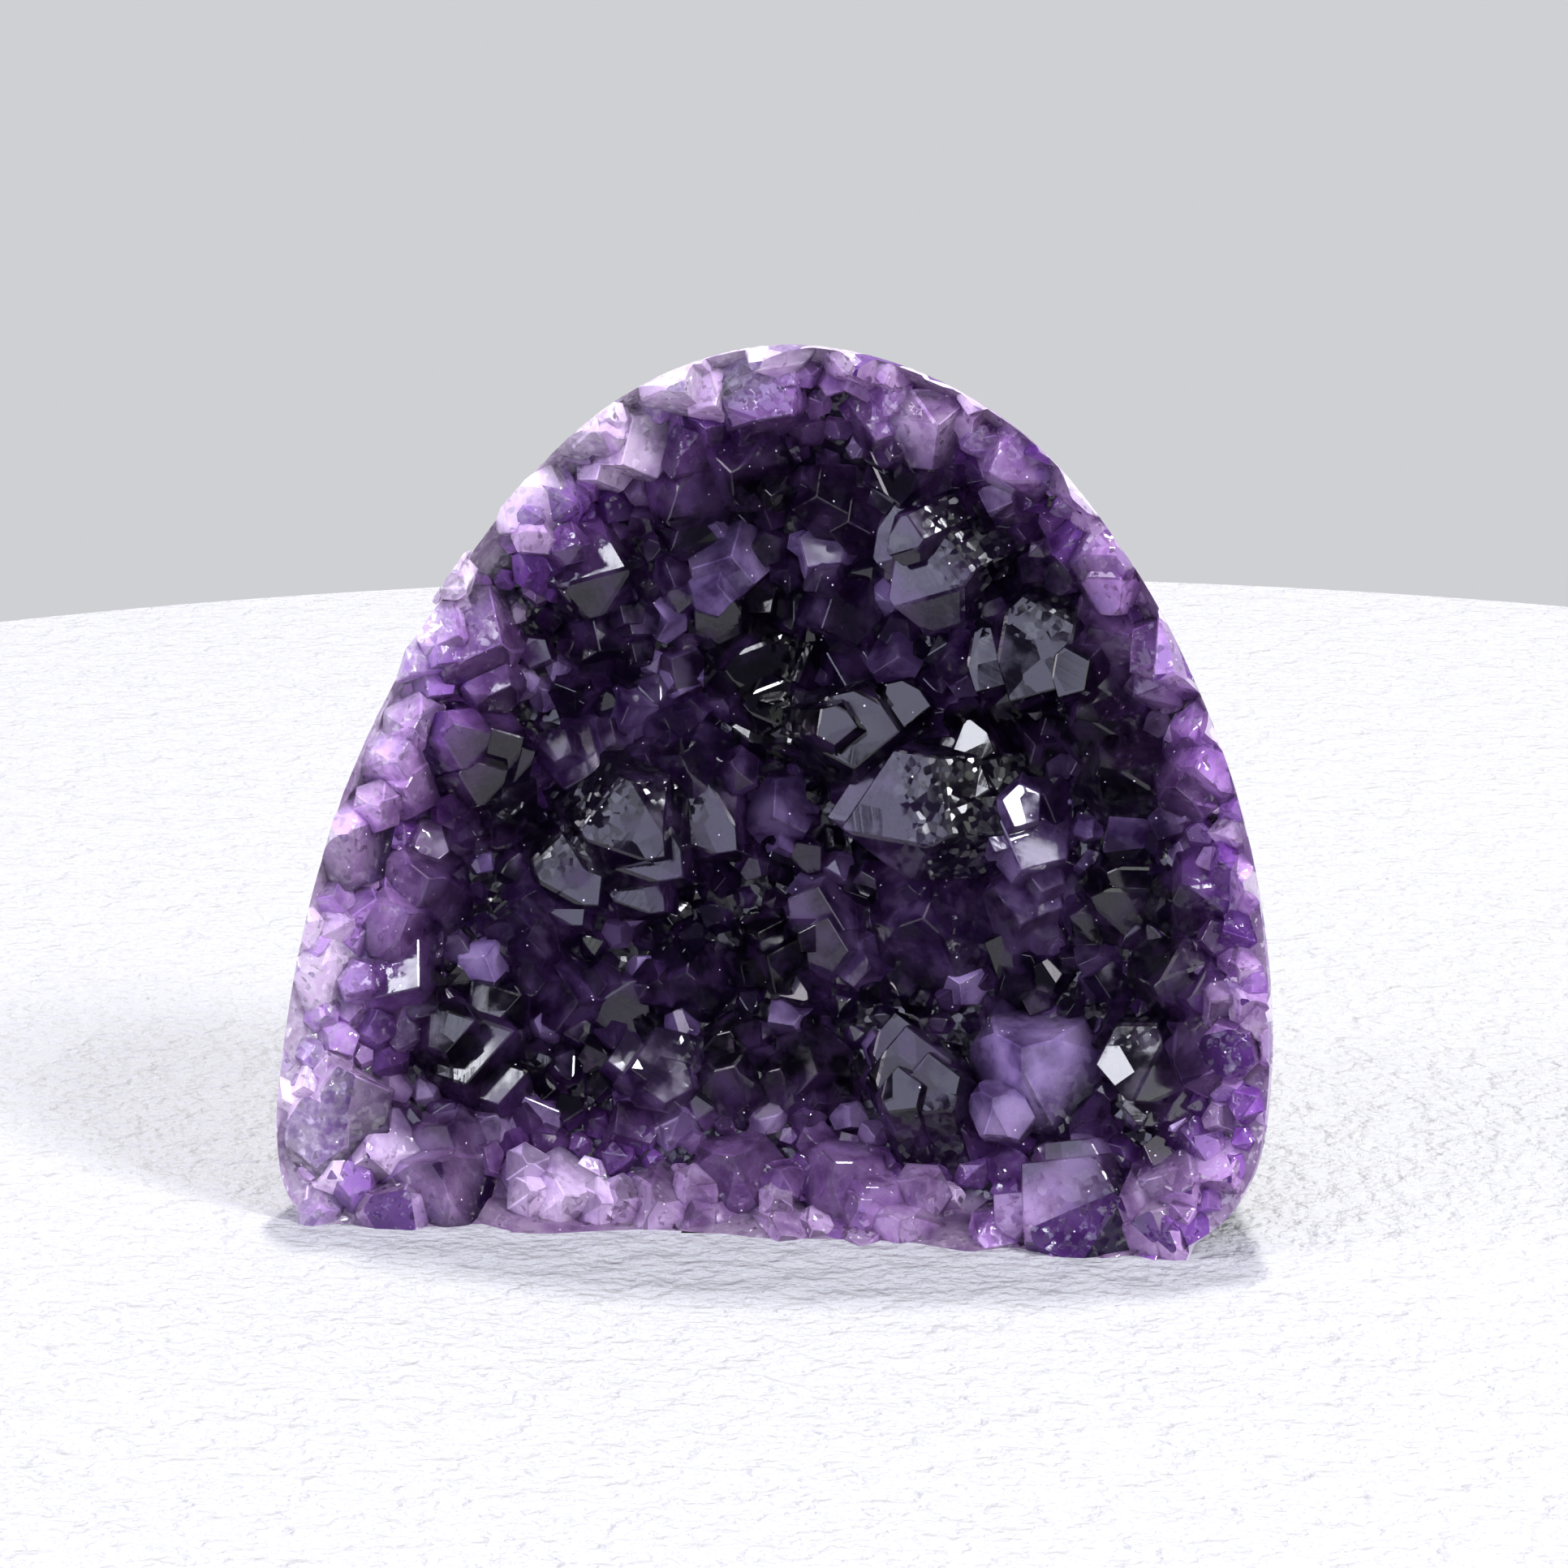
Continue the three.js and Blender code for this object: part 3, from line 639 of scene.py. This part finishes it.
# Geometry nodes: small crystals stand on a surface, each turned, tilted and scaled by chance.
def druseTree():
    tree = bpy.data.node_groups.new("drusySmallCrystals", "GeometryNodeTree")
    sockets = {}
    for name, kind in (("Geometry", "Geometry"), ("Spacing", "Float"), ("Smallest", "Float"),
                       ("Largest", "Float"), ("Tilt", "Float"), ("Seed", "Int"),
                       ("Crystals", "Collection"), ("Material", "Material")):
        socket = tree.interface.new_socket(name, in_out="INPUT", socket_type="NodeSocket" + kind)
        sockets[name] = socket.identifier
    tree.interface.new_socket("Geometry", in_out="OUTPUT", socket_type="NodeSocketGeometry")
    put = nodeAdder(tree)
    given = put("NodeGroupInput").outputs
    points = put(
        "GeometryNodeDistributePointsOnFaces", distribute_method="POISSON", Mesh=given["Geometry"],
        Seed=given["Seed"],
        **{"Density Max": druse["mostPerSquareMetre"], "Distance Min": given["Spacing"]})
    kinds = put(
        "GeometryNodeCollectionInfo", Collection=given["Crystals"],
        **{"Separate Children": True, "Reset Children": True})
    downTilt = put("Math", given["Tilt"], -1.0, operation="MULTIPLY")
    low = put("CombineXYZ", X=downTilt, Y=downTilt, Z=-math.pi)
    high = put("CombineXYZ", X=given["Tilt"], Y=given["Tilt"], Z=math.pi)
    tilt = put("FunctionNodeRandomValue", data_type="FLOAT_VECTOR", Min=low, Max=high, Seed=given["Seed"])
    turned = put(
        "FunctionNodeRotateRotation", rotation_space="LOCAL", Rotation=points.outputs["Rotation"],
        **{"Rotate By": tilt})
    size = put(
        "FunctionNodeRandomValue", given["Smallest"], given["Largest"], data_type="FLOAT",
        Seed=given["Seed"])
    crystalsOn = put(
        "GeometryNodeInstanceOnPoints", Points=points, Instance=kinds, Rotation=turned, Scale=size,
        **{"Pick Instance": True})
    real = put("GeometryNodeRealizeInstances", Geometry=crystalsOn)
    dressed = put("GeometryNodeSetMaterial", Geometry=real, Material=given["Material"])
    put("NodeGroupOutput", Geometry=dressed)
    return tree, sockets


# The separate bodies of a mesh, each as an object with its distances along its axis.
def looseParts(obj):
    mesh = obj.data
    neighbours = [[] for _ in mesh.vertices]
    for edge in mesh.edges:
        a, b = edge.vertices
        neighbours[a].append(b)
        neighbours[b].append(a)
    part = [-1] * len(mesh.vertices)
    count = 0
    for start in range(len(part)):
        if part[start] >= 0:
            continue
        part[start] = count
        waiting = [start]
        while waiting:
            for n in neighbours[waiting.pop()]:
                if part[n] < 0:
                    part[n] = count
                    waiting.append(n)
        count += 1
    facesOf = [[] for _ in range(count)]
    for polygon in mesh.polygons:
        facesOf[part[polygon.vertices[0]]].append(polygon)
    along = mesh.attributes["along"].data
    parts = []
    for polygons in facesOf:
        used = sorted({v for p in polygons for v in p.vertices})
        place = {v: i for i, v in enumerate(used)}
        single = toObject("smallCrystal", [mesh.vertices[v].co / mm for v in used],
                          [[place[v] for v in p.vertices] for p in polygons])
        mark(single, "along", "CORNER", [along[n].value for p in polygons for n in p.loop_indices])
        parts.append(single)
    return parts


def smallCrystals(material, looks):
    kinds = bpy.data.collections.new("smallKinds")
    draw = makeDraw(druse["sourceSeed"])
    up = Vector((0.001, 0, 1)).normalized()  # a little off upright, to have a direction across it
    sources = []
    for _ in range(druse["kinds"]):
        isPlain = draw() > druse["plainShare"]
        planes, axis = crystalShape(up, druse["length"], druse["width"], isPlain, draw)
        tip = Vector((0, 0, druse["length"] - druse["buried"]))
        source = crystalObject("smallKind", planes, tip, axis, draw, 0)
        kinds.objects.link(source)
        sources.append(source)
    floor = growthFloor()
    tree, sockets = druseTree()
    step = floor.modifiers.new("drusySmallCrystals", "NODES")
    step.node_group = tree
    smallest, largest = druse["scale"]
    for name, value in (("Spacing", druse["spacing"] * mm), ("Smallest", smallest), ("Largest", largest),
                        ("Tilt", math.radians(druse["tiltDeg"])), ("Seed", druse["seed"]),
                        ("Crystals", kinds), ("Material", material)):
        step[sockets[name]] = value
    settle(floor, step)
    parts = looseParts(floor)
    for part in parts:
        count = len(part.data.polygons)
        mark(part, "tint", "FACE", [looks()] * count)
        mark(part, "tone", "FACE", [looks() for _ in range(count)])
    discard([floor] + sources)
    print("smallest crystals:", len(parts))
    return parts


# Narrower growths on a crystal, aside of its tip and lower, with their faces side by side with its
# own, so that a large face is built up in steps.
def grownAlong(planes, tip, axis, width, looks):
    growths = []
    for _ in range(round(mix(*crystals["twinCount"], looks()))):
        turn, narrower = looks() * math.pi * 2, mix(*crystals["twinWidth"], looks())
        aside = width / 2 * (1 - narrower * mix(*crystals["twinInside"], looks()))
        lower = mix(*crystals["twinLower"], looks())
        ownTip = tip + acrossAxis(axis, turn) * aside - axis * lower
        growths.append(([planes[0]] + [(normal, out * narrower) for normal, out in planes[1:]], ownTip))
    return growths


# Every crystal but the smallest, as objects that overlap.
def growCrystals(looks):
    draw = makeDraw(crystals["fillSeed"])
    placed = [main[:5] for main in crystals["main"]]
    placed += scatter(placed, crystals["fill"], draw)
    grown = []

    def grow(planes, tip, axis, paleness):
        grown.append(crystalObject("crystal", planes, tip, axis, looks, paleness))

    for index, (x, z, width, leanRight, leanUp) in enumerate(placed):
        isMain = index < len(crystals["main"])
        tip, outwards, reach = standing(x, z, width, leanRight, leanUp)
        paleness, *mirrored = crystals["main"][index][5:] if isMain else [palenessAndPaintedLightAt(x, z, looks())]
        facing = None
        if mirrored:
            facing = mirrorWay(mirrored[0], looks)
        elif width >= crystals["facingMinWidth"] and looks() < crystals["facingShare"]:
            facing = leaningWay(outwards, looks)
        length = reach + crystals["rooting"]
        planes, axis = crystalShape(outwards, length, width, not isMain, draw, facing, looks)
        grow(planes, tip, axis, paleness)
        if width >= crystals["twinMinWidth"]:
            for narrower, ownTip in grownAlong(planes, tip, axis, width, looks):
                grow(narrower, ownTip, axis, paleness)
    for x, z, width, leanRight, leanUp in scatter(placed, crystals["small"], looks):
        _, outwards, mostReach = standing(x, z, width, leanRight, leanUp)
        reach = min(crystals["smallReachPlain"] + crystals["smallReachPerWidth"] * width, mostReach)
        tip = behindFace(x, z, floorDepth(x, z) - reach)
        facing = leaningWay(outwards, looks) if looks() < crystals["facingShare"] else None
        length, isPlain = reach + crystals["rooting"], looks() > crystals["plainShare"]
        planes, axis = crystalShape(outwards, length, width, isPlain, looks, facing, looks)
        grow(planes, tip, axis, palenessAndPaintedLightAt(x, z, looks()))
    print("crystals:", len(grown))
    return grown


# The quartz in which the crystals root, pale as the rim where it nears the outline or the foot.
def makeRoots():
    def alongAt(x, z):
        paler = max(smooth(outwardShare(x, z), *paling["rootOut"]), smooth(z, *paling["rootZ"]))
        return paling["rootAlong"] * mm * (1 - paler)

    roots = layer("amethystCrust", fillDepth, crustBack, rings=40, count=144)
    mesh = roots.data
    places = [mesh.vertices[loop.vertex_index].co / mm for loop in mesh.loops]
    mark(roots, "tint", "FACE", [paling["rootTint"]] * len(mesh.polygons))
    mark(roots, "along", "CORNER", [alongAt(place.x, place.z) for place in places])
    return roots


def makeCrust(material):
    looks = makeDraw(crystals["looksSeed"])
    grown = growCrystals(looks)
    grown += smallCrystals(material, looks)
    crust = makeRoots()
    inFront = layer("inFront", lambda x, z: cut["frontClear"], crustBack)
    block = makeBlock("block")
    sawn = underSawCut()
    combine(crust, grown, "UNION")
    combine(crust, [inFront], "INTERSECT")
    combine(crust, [block], "INTERSECT")
    combine(crust, [sawn], "DIFFERENCE")
    discard(grown + [inFront, block, sawn])
    places = [vertex.co / mm for vertex in crust.data.vertices]
    mark(crust, "rim", "POINT", [rimNearness(x, z) for x, _, z in places])
    mark(crust, "frost", "POINT", [frostAndPaintedLightAt(x, z) for x, _, z in places])
    mark(crust, "root", "POINT", [
        smooth(depthOf(x, y, z), floorDepth(x, z) - paling["rootMilkBefore"], crustBack(x, z))
        for x, y, z in places])
    return finishPiece(crust, material)


def makeRock(material):
    rock = makeBlock("matrixRock", backRings=56, broken=brokenAway)
    beforeFace = -8
    front = layer("front", lambda x, z: beforeFace, lambda x, z: crustBack(x, z) - cut["seamOverlap"])
    sawn = underSawCut()
    combine(rock, [front], "DIFFERENCE")
    combine(rock, [sawn], "DIFFERENCE")
    discard([front, sawn])
    places = [vertex.co / mm for vertex in rock.data.vertices]
    mark(rock, "behind", "POINT", [depthOf(x, y, z) - crustBack(x, z) for x, y, z in places])
    return finishPiece(rock, material)


# What the amethyst looks like: colours by place, sizes in millimetres, tilts as slopes, and how
# strongly it drinks light. The last rows are map ranges: read from and to, and given from and to.
amethyst = {
    "deep": ["#07050d", "#1d1130", "#4a2e68", "#a58ac8"],
    "rim": ["#8c4cbd", "#be80e2", "#e3b2f6", "#f8dcfc"],
    # The two crevice colours are painted shade, laid down the sides of the crystals into the gaps.
    "creviceShade": "#0a0417", "rimCreviceShade": "#2a0f47", "zoned": "#7d3bb4",
    "milk": "#f4e6fb", "frost": "#faeefd", "root": "#ddd0e4",
    "cloudSize": 3.4, "veilSize": 0.7, "sectionSize": 3.4, "speckSize": 1.5, "speckShare": 0.055,
    "lineSize": 0.32, "lineHeight": 0.012, "stepSize": 3.1, "stepTilt": 0.15, "flakeSize": 0.6,
    "flakeTilt": 1.3, "rimShallower": 0.55, "groundCloudy": 0.3, "frostAndLightCloudy": 0.3, "groundMilk": 0.95,
    "creviceRough": 0.12, "creviceFlaky": 0.6, "creviceAfter": (2.4, 6.2), "refraction": 1.544,
    "absorb": "#c47ad4", "density": 31, "clearToRim": (0, 1, 0.94, 0.5),
    "palestCloudy": (0.84, 0.97, 0, 0.32), "toneRough": (0, 1, 0.03, 0.11),
    "etched": (0.45, 0.65, 0, 0.22), "toneShade": (0, 1, 0.55, 1.5), "sectionTint": (0.25, 0.75),
    "rimDrift": (0.3, 0.7, -0.2, 0.2), "shadeDrift": (0.35, 0.65, -0.22, 0.22),
    "violet": (0.51, 0.63, 0, 0.6), "notPalest": (0.98, 0.6), "flecks": (0.62, 0.75, 0, 0.4),
    "frostAndLightVeil": (0.36, 0.6, 0.3, 0.8), "toneLined": (0.35, 1, 0.12, 1), "flaky": (0.47, 0.58),
    "nearRim": (0.3, 0.9),
}


# Amethyst, as grown and ground at the rim: a glassy violet quartz, nearly black where it is deep,
# paler and milky towards the rim, with painted shade down the sides of the crystals into the gaps
# between them, frost with painted light at the left, lines across its prism faces, faces built up
# in patches that lie a little aslant, and bright broken flakes near the rim.
def amethystLook():
    material, put = newMaterial("amethystCrystalGrown")
    place = put("TexCoord").outputs["Object"]
    tint, tone, along, rimShare, frostAndLightShare, rootShare, ground = (
        put("Attribute", attribute_name=name).outputs["Fac"]
        for name in ("tint", "tone", "along", "rim", "frost", "root", "ground"))
    cloud = put("TexNoise", sizeMm=amethyst["cloudSize"], Detail=4.0, Vector=place)
    veil = put("TexNoise", sizeMm=amethyst["veilSize"], Detail=3.0, Vector=place)
    rimDrift, shadeDrift, violet, etched = (
        put("MapRange", cloud, *amethyst[name]) for name in ("rimDrift", "shadeDrift", "violet", "etched"))
    flecks, frostAndLightVeil, flaky = (
        put("MapRange", veil, *amethyst[name]) for name in ("flecks", "frostAndLightVeil", "flaky"))
    toneShade, toneRough, toneLined = (
        put("MapRange", tone, *amethyst[name]) for name in ("toneShade", "toneRough", "toneLined"))

    # A ground face shows the crystals cut across, each with its own shade.
    sections = put("TexVoronoi", sizeMm=amethyst["sectionSize"], Vector=place)
    section = put("MapRange", sections.outputs["Color"], *amethyst["sectionTint"])
    tint = put("Math", section, ground, tint, operation="MULTIPLY_ADD")

    # Dark in the depth of the bowl, with painted shade down the sides of the crystals into the gaps
    # between them, pale at the rim, and violet in zones where it is pale.
    rim = put("Math", rimShare, rimDrift, operation="ADD", use_clamp=True)
    sooner = put("Math", rim, amethyst["rimShallower"], 1.0, operation="MULTIPLY_ADD")
    lower = put("Math", along, sooner, operation="MULTIPLY")
    downSide = put("MapRange", lower, *[edge * mm for edge in amethyst["creviceAfter"]])
    creviceShade = put("Math", downSide, ground, operation="SUBTRACT", use_clamp=True)
    shade = put("Math", tint, shadeDrift, operation="ADD")
    shades = []
    # Painted shade: each ramp turns to a dark colour down the sides of the crystals, into the gaps.
    for name, inCreviceShade in (("deep", "creviceShade"), ("rim", "rimCreviceShade")):
        stops = [(n / 3, colour) for n, colour in enumerate(amethyst[name])]
        onFace = put("ValToRGB", shade, stops=stops)
        shades.append(put("Mix", creviceShade, onFace, amethyst[inCreviceShade], data_type="RGBA"))
    deep, pale = shades
    notPalest = put("MapRange", tint, *amethyst["notPalest"])
    zoned = put("Math", violet, notPalest, operation="MULTIPLY")
    pale = put("Mix", zoned, pale, amethyst["zoned"], data_type="RGBA")
    colour = put("Mix", rim, deep, pale, data_type="RGBA")
    colour = put("HueSaturation", Value=toneShade, Color=colour)

    # Milky flecks near the rim, frost with painted light at the left, the milky root of the crystals on
    # the ground sides, and small white specks.
    flecks = put("Math", flecks, rim, operation="MULTIPLY")
    # Frost with painted light: it whitens the upper and lower left, where the light falls.
    frost = put("Math", frostAndLightVeil, frostAndLightShare, operation="MULTIPLY")
    milky = put("Math", section, amethyst["groundMilk"], operation="MULTIPLY")
    milky = put("Math", rootShare, milky, operation="MAXIMUM")
    milky = put("Math", milky, ground, operation="MULTIPLY")
    dots = put("TexVoronoi", sizeMm=amethyst["speckSize"], Vector=place)
    specks = put("Math", dots, amethyst["speckShare"], operation="LESS_THAN")
    for share, over in ((flecks, "milk"), (frost, "frost"), (milky, "root"), (specks, "milk")):
        colour = put("Mix", share, colour, amethyst[over], data_type="RGBA")

    # How clear it is: clear in the depth, cloudy where it is pale, ground, frosted with painted light or
    # specked.
    clear = put("MapRange", rim, *amethyst["clearToRim"])
    for share, cloudy in ((ground, "groundCloudy"), (frostAndLightShare, "frostAndLightCloudy")):
        clear = put("Math", share, -amethyst[cloudy], clear, operation="MULTIPLY_ADD")
    palest = put("MapRange", tint, *amethyst["palestCloudy"])
    clear = put("Math", clear, palest, operation="SUBTRACT")
    clear = put("Math", clear, specks, operation="SUBTRACT", use_clamp=True)

    # How rough it is: each face a little differently, duller in the gaps and where it is etched.
    rough = put("Math", creviceShade, amethyst["creviceRough"], toneRough, operation="MULTIPLY_ADD")
    rough = put("Math", rough, etched, operation="ADD")

    # Lines across the axis, as relief in metres. Then patches and small flakes, each of which
    # leans the surface its own way: flakes lie in the dark gaps and where the rim is veiled.
    relief = put("TexNoise", noise_dimensions="1D", sizeMm=amethyst["lineSize"], W=along)
    lined = put("Math", toneLined, amethyst["lineHeight"] * mm, operation="MULTIPLY")
    relief = put("Math", relief, lined, operation="MULTIPLY")
    normal = put("Bump", Strength=1.0, Distance=1.0, Height=relief)
    grown = put("Math", 1.0, ground, operation="SUBTRACT")
    nearRim = put("MapRange", rim, *amethyst["nearRim"])
    flaky = put("Math", flaky, nearRim, operation="MULTIPLY")
    broken = put("Math", creviceShade, amethyst["creviceFlaky"], operation="MULTIPLY")
    flaky = put("Math", flaky, broken, operation="MAXIMUM")
    for size, tilt, share in (("stepSize", "stepTilt", grown), ("flakeSize", "flakeTilt", flaky)):
        patches = put("TexVoronoi", sizeMm=amethyst[size], Vector=place)
        aslant = put("VectorMath", patches.outputs["Color"], (0.5, 0.5, 0.5), operation="SUBTRACT")
        share = put("Math", share, amethyst[tilt], operation="MULTIPLY")
        lean = put("VectorMath", aslant, operation="SCALE", Scale=share)
        normal = put("VectorMath", normal, lean, operation="ADD")
    normal = put("VectorMath", normal, operation="NORMALIZE")
    shader = put(
        "BsdfPrincipled", IOR=amethyst["refraction"], distribution="GGX", Roughness=rough,
        Normal=normal, **{"Base Color": colour, "Transmission Weight": clear})
    volume = put("VolumeAbsorption", Color=amethyst["absorb"], Density=amethyst["density"])
    put("OutputMaterial", Surface=shader, Volume=volume)
    return material


# What the rock looks like: colours, sizes and depths behind the crystals' roots in millimetres,
# roughness, and map ranges as above.
geodeRock = {
    "bands": [(0, "#dedadb"), (0.7, "#c9c6cc"), (1.1, "#e2dfdd"), (1.7, "#bcb9b8"), (1.9, "#565440"),
              (2.5, "#4d4b3b"), (2.9, "#77705f"), (6, "#6f6a61")],
    "agateLine": "#9f9ba4", "agateDepth": 1.7, "agateLineSize": 0.42, "waver": 0.5, "waverSize": 5,
    "mottle": "#514d47", "mottleSize": 5.5, "amygdule": "#b9b6a2", "amygduleSize": 2.2,
    "weathered": "#8a8068", "grainSize": 0.7, "grainDepth": 0.5, "grainStrength": 0.9, "polished": 0.28,
    "natural": 0.9, "drifting": (0.3, 0.7), "lines": (0.2, 1, 0, 0.5), "rockBelow": (2.4, 3.2),
    "mottled": (0.45, 0.62, 0, 0.8), "bubbles": (0.16, 0.1, 0, 0.7), "bubblesWhere": (0.5, 0.56),
    "weathering": (0.55, 0.4, 0, 0.6),
}


# Agate and basalt, ground smooth on the sides and base, rough where it broke out of the ground:
# a thin pale banded rind, a dark greenish skin, then grey-brown rock with small pale filled bubbles.
def rockLook():
    material, put = newMaterial("agateAndBasaltGround")
    place = put("TexCoord").outputs["Object"]
    behind, ground = (put("Attribute", attribute_name=name).outputs["Fac"]
                      for name in ("behind", "ground"))
    natural = put("Math", 1.0, ground, operation="SUBTRACT")
    drift = put("TexNoise", sizeMm=geodeRock["waverSize"], Detail=3.0, Vector=place)
    waver = geodeRock["waver"]
    drift = put("MapRange", drift, *geodeRock["drifting"], -waver, waver)
    depth = put("Math", behind, drift, operation="ADD")
    deepest = geodeRock["bands"][-1][0]
    share = put("MapRange", depth, 0, deepest)
    stops = [(at / deepest, code) for at, code in geodeRock["bands"]]
    colour = put("ValToRGB", share, stops=stops)

    # Fine lines in the agate.
    lines = put("Math", depth, 2 * math.pi / geodeRock["agateLineSize"], operation="MULTIPLY")
    lines = put("Math", lines, operation="SINE")
    lines = put("MapRange", lines, *geodeRock["lines"])
    inAgate = put("Math", depth, geodeRock["agateDepth"], operation="LESS_THAN")
    lines = put("Math", lines, inAgate, operation="MULTIPLY")

    # Mottles and filled bubbles in the basalt, and a weathered skin on its natural back.
    inRock = put("MapRange", depth, *geodeRock["rockBelow"])
    mottle = put("TexNoise", sizeMm=geodeRock["mottleSize"], Detail=6.0, Roughness=0.7, Vector=place)
    dark = put("MapRange", mottle, *geodeRock["mottled"])
    dark = put("Math", dark, inRock, operation="MULTIPLY")
    bubble = put("TexVoronoi", sizeMm=geodeRock["amygduleSize"], Vector=place)
    bubble = put("MapRange", bubble, *geodeRock["bubbles"])
    someOnly = put("MapRange", mottle, *geodeRock["bubblesWhere"])
    bubble = put("Math", bubble, someOnly, operation="MULTIPLY")
    filled = put("Math", bubble, inRock, operation="MULTIPLY")
    worn = put("MapRange", mottle, *geodeRock["weathering"])
    worn = put("Math", worn, natural, operation="MULTIPLY")
    for share, over in ((lines, "agateLine"), (dark, "mottle"), (filled, "amygdule"), (worn, "weathered")):
        colour = put("Mix", share, colour, geodeRock[over], data_type="RGBA")

    rough = put("MapRange", ground, 0, 1, geodeRock["natural"], geodeRock["polished"])
    grain = put("TexNoise", sizeMm=geodeRock["grainSize"], Detail=5.0, Roughness=0.7, Vector=place)
    pitted = put("Math", grain, bubble, operation="SUBTRACT")
    height = put("Math", pitted, natural, operation="MULTIPLY")
    bump = put(
        "Bump", Strength=geodeRock["grainStrength"], Distance=geodeRock["grainDepth"] * mm,
        Height=height)
    shader = put("BsdfPrincipled", Roughness=rough, Normal=bump, **{"Base Color": colour})
    put("OutputMaterial", Surface=shader)
    return material


crust = makeCrust(amethystLook())
rock = makeRock(rockLook())


def addCamera():
    data = bpy.data.cameras.new("camera")
    data.lens, data.sensor_width = view["lens"], view["sensor"]
    data.clip_start, data.clip_end = view["clip"]
    camera = bpy.data.objects.new("camera", data)
    camera.location = (Vector(view["target"]) + towardsCamera() * view["distance"]) * mm
    camera.rotation_euler = (-towardsCamera()).to_track_quat("-Z", "Y").to_euler()
    bpy.context.scene.collection.objects.link(camera)
    bpy.context.scene.camera = camera
    print("camera:", view["azimuthDeg"], "degrees round,", view["elevationDeg"], "up")


addCamera()

# The floor: a round of rough white plaster whose edge crosses behind the piece, sizes in millimetres.
plaster = {
    "radius": 200, "middleY": 56, "steps": 256, "colour": "#bfbfc2", "roughness": 0.9,
    "grain": 1.1, "lump": 4.0, "lumpShare": 2.0, "depth": 0.9,
}


def addFloor():
    count = plaster["steps"]
    turns = [2 * math.pi * i / count for i in range(count)]
    rim = [Vector((math.cos(turn), math.sin(turn), 0)) for turn in turns]
    middle = Vector((0, plaster["middleY"], 0))
    floor = toObject("floor", [out * plaster["radius"] + middle for out in rim], [list(range(count))])
    material, put = newMaterial("whitePlasterTrowelled")
    place = put("TexCoord").outputs["Object"]
    grain = put("TexNoise", sizeMm=plaster["grain"], Detail=3.0, Vector=place)
    lump = put("TexNoise", sizeMm=plaster["lump"], Detail=2.0, Vector=place)
    height = put("Math", lump, plaster["lumpShare"], grain, operation="MULTIPLY_ADD")
    bump = put("Bump", Distance=plaster["depth"] * mm, Height=height)
    shader = put(
        "BsdfPrincipled", Roughness=plaster["roughness"], Normal=bump,
        **{"Base Color": plaster["colour"]})
    put("OutputMaterial", Surface=shader)
    floor.data.materials.append(material)
    print("floor radius:", plaster["radius"], "mm")


addFloor()


def addLights():
    aim = Vector((0, 0, 0.035))  # the middle of the piece
    for name, (place, size, brightness, colour) in lights.items():
        data = bpy.data.lights.new(name, "AREA")
        data.shape = "RECTANGLE"
        data.size, data.size_y = size
        data.energy = brightness * math.pi * data.size * data.size_y
        data.color = linear(colour)[:3]
        light = bpy.data.objects.new(name, data)
        light.location = place
        light.rotation_euler = (aim - light.location).to_track_quat("-Z", "Y").to_euler()
        bpy.context.scene.collection.objects.link(light)
    print("lights:", len(lights))


addLights()

# The room: light grey behind the piece and dark behind the camera.
room = {"behind": "#cfd0d3", "before": "#5e5c70", "turnsLight": (-0.3, 0.5)}


def addRoom():
    world = bpy.data.worlds.new("softRoom")
    bpy.context.scene.world = world
    world.use_nodes = True
    put = nodeAdder(world.node_tree)
    heading = put("TexCoord").outputs["Generated"]
    y = put("SeparateXYZ", heading).outputs["Y"]
    share = put("MapRange", y, *room["turnsLight"])
    colour = put("Mix", share, room["before"], room["behind"], data_type="RGBA")
    light = put("Background", Color=colour)
    put("OutputWorld", Surface=light)
    print("room lit")


addRoom()
bpy.context.scene.view_settings.view_transform = "Standard"

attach(crust, "root")
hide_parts("crystal_crust")
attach(rock, "root")
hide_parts("matrix")
